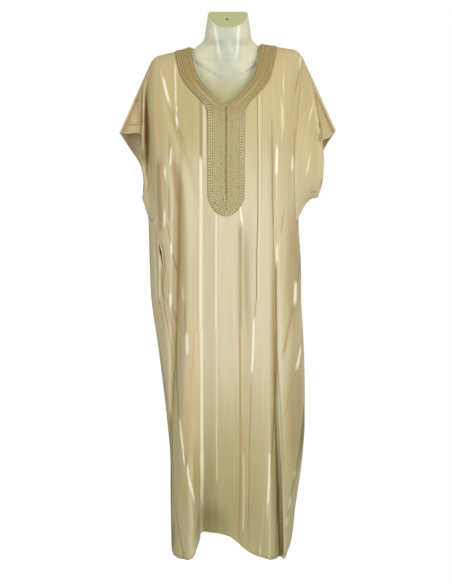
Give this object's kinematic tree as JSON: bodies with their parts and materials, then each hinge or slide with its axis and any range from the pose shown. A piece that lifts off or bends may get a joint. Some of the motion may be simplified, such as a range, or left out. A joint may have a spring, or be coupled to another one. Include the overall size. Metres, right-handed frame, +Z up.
{
  "type": "djellaba on dress form",
  "caption": "Ankle-length djellaba with short wide sleeves, V neck and embroidered plastron, on a limbless dress form with pole and base.",
  "frame": {"origin": "on the underside of the base, straight below the middle of the neck opening", "axes": "+Z up, -Y out of the front of the garment, +X to the right of a viewer who faces the front"},
  "size_m": [0.5724, 0.2982, 1.5111],
  "materials": {
    "striped_cloth": "matt crepe with woven satin stripes",
    "embroidery": "dense embroidery in silky thread",
    "braid": "plaited silky braid",
    "form_shell": "glossy moulded shell",
    "cap_plate": "matt",
    "white_metal": "smooth powder coat"
  },
  "bodies": {
    "root": {"front_panel": "striped_cloth", "back_panel": "striped_cloth", "sleeve_left": "striped_cloth", "sleeve_right": "striped_cloth", "neckband_left": "embroidery", "neckband_right": "embroidery", "neckband_back": "embroidery", "neck_braid_left": "braid", "neck_braid_right": "braid", "neck_braid_back": "braid", "outer_braid_left": "braid", "outer_braid_right": "braid", "outer_braid_back": "braid", "form_torso": "form_shell", "form_neck_cap": "cap_plate", "stand_base": "white_metal", "stand_plate": "white_metal", "stand_pole": "white_metal"}
  },
  "joints": []
}
